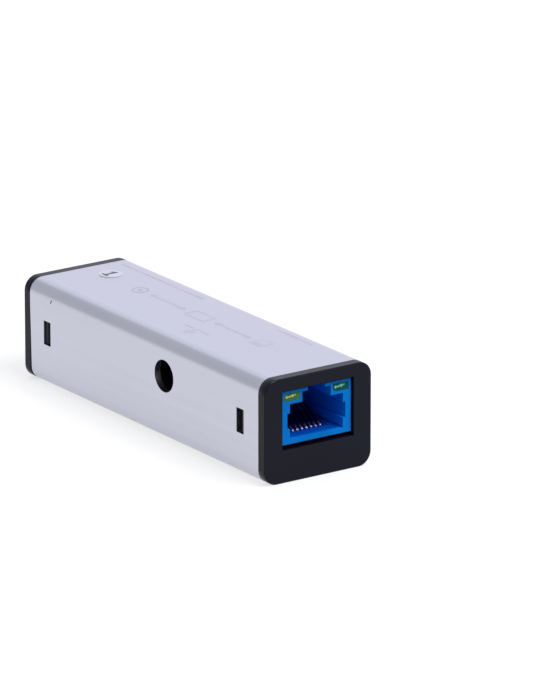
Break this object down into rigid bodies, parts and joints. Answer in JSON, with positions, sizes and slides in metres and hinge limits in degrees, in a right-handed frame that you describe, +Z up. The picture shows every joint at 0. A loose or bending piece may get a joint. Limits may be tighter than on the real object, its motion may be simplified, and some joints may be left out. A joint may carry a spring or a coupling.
{
  "type": "fibre media converter",
  "caption": "Slim extruded converter box with a copper network socket in its front cap, a fibre socket in its rear cap and a power jack in the side.",
  "frame": {"origin": "middle of the underside of the box", "axes": "+X across the box, +Y along it towards the fibre socket (the copper socket faces -Y), +Z up"},
  "size_m": [0.0238, 0.0798, 0.0201],
  "materials": {
    "anodised_aluminium": "satin",
    "black_cap_plastic": "fine matt",
    "board_laminate": "solder resist",
    "blue_jack_plastic": "moulded",
    "dark_insert_plastic": "moulded",
    "gold_contact": "plated",
    "yellow_lens": "tinted",
    "green_lens": "tinted",
    "tinned_lead": "tinned",
    "gold_wire": "plated",
    "black_package": "moulded",
    "chip_ceramic": "sintered",
    "chip_film": "glazed",
    "crystal_can": "satin",
    "capacitor_aluminium": "satin",
    "power_jack_plastic": "moulded",
    "nickel_pin": "plated",
    "ferrite": "sintered",
    "bobbin_plastic": "moulded",
    "winding_tape": "taped",
    "blue_port_plastic": "moulded",
    "white_latch_plastic": "moulded",
    "stainless": "turned",
    "white_ceramic": "polished",
    "label_paper": "paper"
  },
  "bodies": {
    "root": {"bridge_rectifier_leads": "tinned_lead", "bridge_rectifiers": "black_package", "capacitor_bases": "black_package", "capacitor_cans": "capacitor_aluminium", "chip_capacitors": "chip_ceramic", "chip_resistors": "chip_film", "circuit_board": "board_laminate", "converter_chip": "black_package", "converter_chip_leads": "tinned_lead", "crystal": "crystal_can", "ferrule_sleeve": "white_ceramic", "fibre_latch_insert": "white_latch_plastic", "fibre_port_housing": "blue_port_plastic", "fibre_stub": "white_ceramic", "front_cap": "black_cap_plastic", "housing_tube": "anodised_aluminium", "laser_can": "stainless", "light_green": "green_lens", "light_leads": "tinned_lead", "light_yellow": "yellow_lens", "number_label": "label_paper", "optical_barrel": "stainless", "optical_block": "stainless", "optical_leads": "gold_wire", "poe_controller": "black_package", "poe_controller_leads": "tinned_lead", "power_inductor": "black_package", "power_jack_body": "power_jack_plastic", "power_jack_pin": "nickel_pin", "power_jack_spring": "tinned_lead", "power_jack_terminal": "tinned_lead", "power_transformer_bobbin": "bobbin_plastic", "power_transformer_core": "ferrite", "power_transformer_pins": "tinned_lead", "power_transformer_winding": "winding_tape", "rear_cap": "black_cap_plastic", "receiver_can": "stainless", "rj45_contact_carrier": "dark_insert_plastic", "rj45_contacts": "gold_contact", "rj45_housing": "blue_jack_plastic", "signal_transformer": "black_package", "signal_transformer_leads": "tinned_lead"}
  },
  "joints": []
}
